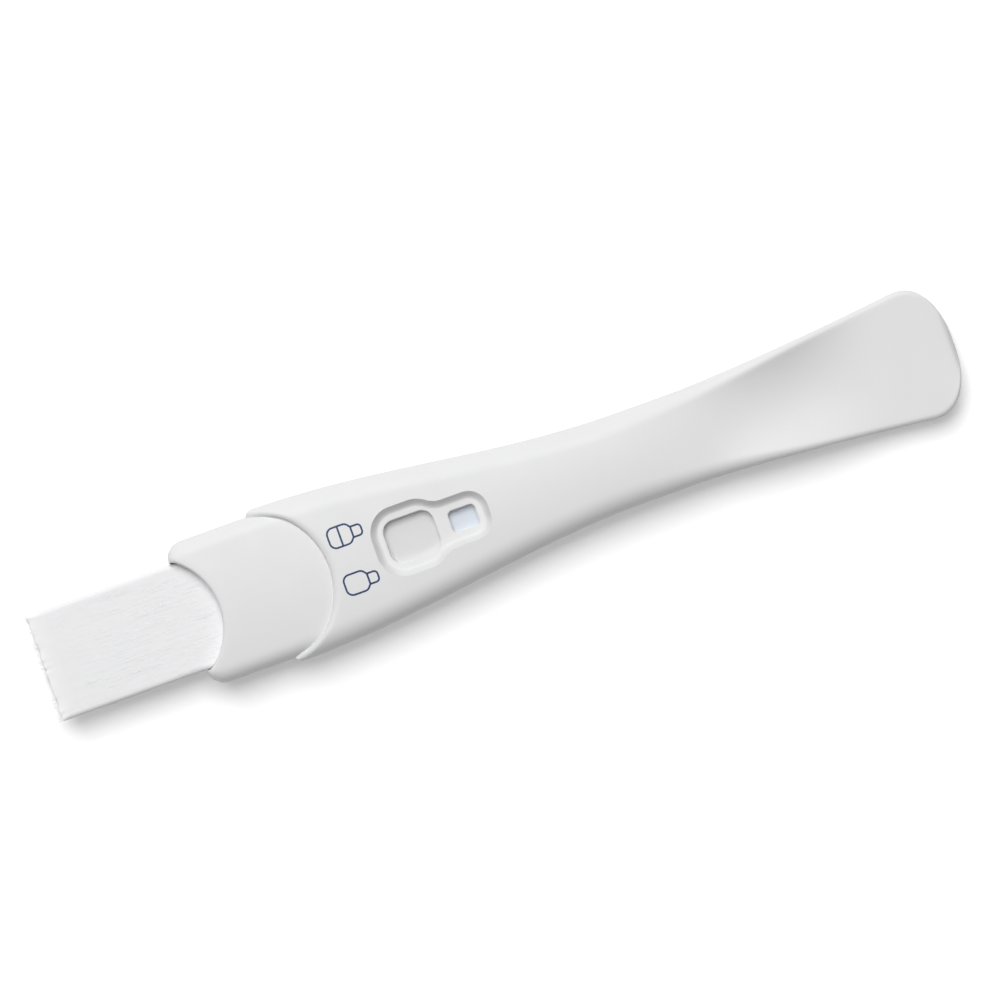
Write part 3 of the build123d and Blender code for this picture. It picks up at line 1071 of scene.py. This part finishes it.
    def strand(self, maker, s, start, run, wander, side):
        """One fibre: a thin three-sided strand with a slow bend and tapered ends."""
        x, y, z = start
        sway = random.uniform(-1, 1) * wander * self.sway
        lift = random.uniform(*self.lift_range) * wander * side
        phase = random.uniform(0, math.tau)
        rows = []
        for t in self.stations:
            middle = min(max(t, self.end_cut), 1 - self.end_cut)
            swell = self.end_share + (1 - self.end_share) * math.sin(math.pi * middle)
            thick = s.fibre_width / 2 * swell
            cy = y + sway * math.sin(phase + 3 * t)
            cz = z + lift * math.sin(math.pi * t)
            points = []
            for k in range(self.fibre_sides):
                a = math.pi / 2 + math.tau * k / self.fibre_sides
                points.append((x + run * t, cy + thick * math.cos(a), cz + thick * math.sin(a)))
            rows.append(maker.row(points))
        maker.sheet(rows, closed=True)


class TESTSTICK_OT_guides(bpy.types.Operator):
    """Print the two window guides beside the recess"""

    bl_idname = "teststick.guides"
    bl_label = "Window Guides"

    # Corner radii as shares of the widths, and the tail's bar as a share of the line
    corner_share = 0.32
    tail_corner_share = 0.33
    neck_share = 0.16
    bar_share = 0.3
    bar_steps = 9

    def execute(self, context):
        settings = context.scene.test_stick
        s = settings.guides
        form = CaseForm(settings.case)
        maker = MeshMaker()
        start = form.collar_x + s.place
        for side in (1, -1):
            middle = side * s.offset
            rings = []
            for grow in (s.line / 2, 0.0, -s.line / 2):
                plan = self.outline(s, start, grow)
                rings.append(self.printed(maker, s, form, [(x, y + middle) for x, y in plan]))
            maker.sheet(rings, closed=True)
            tail_x = start + s.lobe + s.line * self.bar_share
            self.bar(maker, s, form, tail_x, middle, s.tail_width / 2)
            if side > 0:
                self.bar(maker, s, form, start + s.lobe / 2, middle, s.width / 2)
        ink = maker.finish("window_guides", sharp=60.0)
        dress(ink, porous_finish("Guide Ink", settings.finish.ink, 0.0002, 0.45, 0.25))
        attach(ink, BODY)
        return {"FINISHED"}

    def outline(self, s, start, grow):
        end = start + s.lobe + s.tail
        corner, neck = s.width * self.corner_share, s.width * self.neck_share
        tail_corner = s.tail_width * self.tail_corner_share
        return lobed_outline(
            start, end, s.lobe, s.width, s.tail_width, corner, tail_corner, neck, grow
        )

    def printed(self, maker, s, form, plan):
        return maker.row([(x, y, form.top_height(x, y) + s.lift) for x, y in plan])

    def bar(self, maker, s, form, x, y, half):
        """Straight printed line across a guide."""
        rows = []
        for side in (-1, 1):
            places = spaced(-half, half, self.bar_steps)
            edge = [(x + side * s.line / 2, y + t) for t in places]
            rows.append(self.printed(maker, s, form, edge))
        maker.bridge(rows[0], rows[1])


class TESTSTICK_OT_strip(bpy.types.Operator):
    """Finish the solids inside the case: strip, pane and drying tablet"""

    bl_idname = "teststick.strip"
    bl_label = "Strip and Pane"

    def execute(self, context):
        finish = context.scene.test_stick.finish
        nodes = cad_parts
        dress(nodes["membrane"], self.membrane_finish(context.scene.test_stick))
        dress(nodes["conjugate_pad"], fibre_finish("Conjugate Fibre", finish.conjugate, 8.0))
        dress(nodes["absorbent_pad"], porous_finish("Absorbent Paper", finish.absorbent, 0.0002))
        dress(nodes["backing_card"], moulded_plastic("Backing Plastic", finish.backing, 0.5))
        dress(nodes["desiccant_tablet"], porous_finish("Tablet", finish.tablet, 0.0004, 0.9, 0.15))
        dress(nodes["window_pane"], clear_plastic("Clear Pane"))
        return {"FINISHED"}

    def membrane_finish(self, settings):
        """White test paper, faintly blue under the small window; both colours are greyed, as painted
        shade for the deep windows.
        """
        border, turn = 0.001, 0.0005
        recess = RecessForm(settings.recess, CaseForm(settings.case))
        start = recess.small_x - settings.recess.small_length / 2 - border
        white, blue = settings.finish.membrane, settings.finish.control
        ahead = (white, start, start + turn)
        return porous_finish("Membrane Paper", blue, 0.00008, contrast=0.05, ahead=ahead)


def area_lamp(name, power, size, place, target):
    """Square lamp at a place, turned to a target."""
    lamp = bpy.data.lights.new(name, "AREA")
    lamp.energy = power
    lamp.size = size
    obj = bpy.data.objects.new(name, lamp)
    obj.location = place
    obj.rotation_euler = (Vector(target) - Vector(place)).to_track_quat("-Z", "Y").to_euler()
    bpy.context.scene.collection.objects.link(obj)
    return obj


class TESTSTICK_OT_stage(bpy.types.Operator):
    """Build the pale floor, the soft lamp, the sky and the camera"""

    bl_idname = "teststick.stage"
    bl_label = "Studio"

    # Height that the main lamp is turned to
    lamp_aim = 0.004
    # Where the floor is plain white, as a multiple of where it starts to turn
    plain_reach = 3
    grain_size = 0.02
    grain_shade = 0.995

    def execute(self, context):
        s = context.scene.test_stick.studio
        self.floor(s)
        self.sky(s)
        across = math.cos(s.key_height) * s.key_distance
        place = (
            -math.sin(s.key_turn) * across,
            math.cos(s.key_turn) * across,
            math.sin(s.key_height) * s.key_distance,
        )
        area_lamp("key_lamp", s.key_power, s.key_size, place, (0, 0, self.lamp_aim))
        self.camera(context, s)
        context.scene.view_settings.view_transform = "Standard"
        return {"FINISHED"}

    def floor(self, s):
        """Matt floor that is seen brighter than it is lit, and plain white far off."""
        maker = MeshMaker()
        half = s.floor_size / 2
        maker.sheet([maker.row([(x, y, 0.0) for x in (-half, half)]) for y in (-half, half)])
        floor = maker.finish("studio_floor")
        tree = Tree("Studio Floor", {"Roughness": 0.9, "Specular IOR Level": 0.0})
        grain = tree.noise(self.grain_size)
        tree.join(tree.ramp(grain, shade(s.floor, self.grain_shade), s.floor), "Base Color")
        away = tree.add("VectorMath", joins={0: tree.place}, operation="LENGTH").outputs["Value"]
        plain = s.plain_start * self.plain_reach
        lift = tree.span(away, s.floor_glow, 1.0, s.plain_start, plain)
        seen = tree.add("Math", joins={0: tree.seen_share(), 1: lift}, operation="MULTIPLY")
        glow = tree.add("Emission", joins={"Strength": seen.outputs["Value"]})
        parts = {0: tree.shader.outputs["BSDF"], 1: glow.outputs["Emission"]}
        tree.show(tree.add("AddShader", joins=parts).outputs["Shader"])
        dress(floor, tree.material)

    def sky(self, s):
        """Even light that is seen as plain white."""
        world = bpy.data.worlds.new("studio_sky")
        bpy.context.scene.world = world
        world.use_nodes = True
        tree = Nodes(world.node_tree)
        even = tree.nodes["Background"]
        even.inputs["Color"].default_value = WHITE
        even.inputs["Strength"].default_value = s.sky
        white = tree.add("Background", {"Color": WHITE}).outputs["Background"]
        both = tree.mixed(tree.seen_share(), even.outputs["Background"], white)
        tree.links.new(both, tree.nodes["World Output"].inputs["Surface"])

    def camera(self, context, s):
        camera = bpy.data.cameras.new("studio_camera")
        camera.lens = s.lens
        distance = s.view_width * camera.lens / camera.sensor_width
        obj = bpy.data.objects.new("studio_camera", camera)
        obj.location = (s.view_x, s.view_y, distance + context.scene.test_stick.case.body_height / 2)
        obj.rotation_euler = (0.0, 0.0, s.view_turn)
        context.scene.collection.objects.link(obj)
        context.scene.camera = obj


class TESTSTICK_PT_panel(bpy.types.Panel):
    """Sizes, colours and building steps of the test stick"""

    bl_idname = "TESTSTICK_PT_panel"
    bl_label = "Test Stick"
    bl_space_type = "VIEW_3D"
    bl_region_type = "UI"
    bl_category = "Test Stick"

    def draw(self, context):
        settings = context.scene.test_stick
        for operator in BUILDERS:
            self.layout.operator(operator.bl_idname)
        for group in ("case", "recess", "wick", "guides", "finish", "studio"):
            box = self.layout.box()
            box.label(text=group.capitalize())
            values = getattr(settings, group)
            for name in type(values).__annotations__:
                box.prop(values, name, text=name.replace("_", " ").capitalize())


BUILDERS = (
    TESTSTICK_OT_bottom_case,
    TESTSTICK_OT_top_case,
    TESTSTICK_OT_wick,
    TESTSTICK_OT_guides,
    TESTSTICK_OT_strip,
    TESTSTICK_OT_stage,
)
GROUPS = (
    TESTSTICK_PG_case,
    TESTSTICK_PG_recess,
    TESTSTICK_PG_wick,
    TESTSTICK_PG_guides,
    TESTSTICK_PG_finish,
    TESTSTICK_PG_studio,
    TESTSTICK_PG_settings,
)
CLASSES = GROUPS + BUILDERS + (TESTSTICK_PT_panel,)


def register():
    for cls in CLASSES:
        bpy.utils.register_class(cls)
    bpy.types.Scene.test_stick = PointerProperty(type=TESTSTICK_PG_settings)


def unregister():
    del bpy.types.Scene.test_stick
    for cls in reversed(CLASSES):
        bpy.utils.unregister_class(cls)


def main():
    register()
    bpy.ops.teststick.bottom_case()
    bpy.ops.teststick.top_case()
    bpy.ops.teststick.wick()
    bpy.ops.teststick.guides()
    bpy.ops.teststick.strip()
    bpy.ops.teststick.stage()


if __name__ == "__main__":
    main()
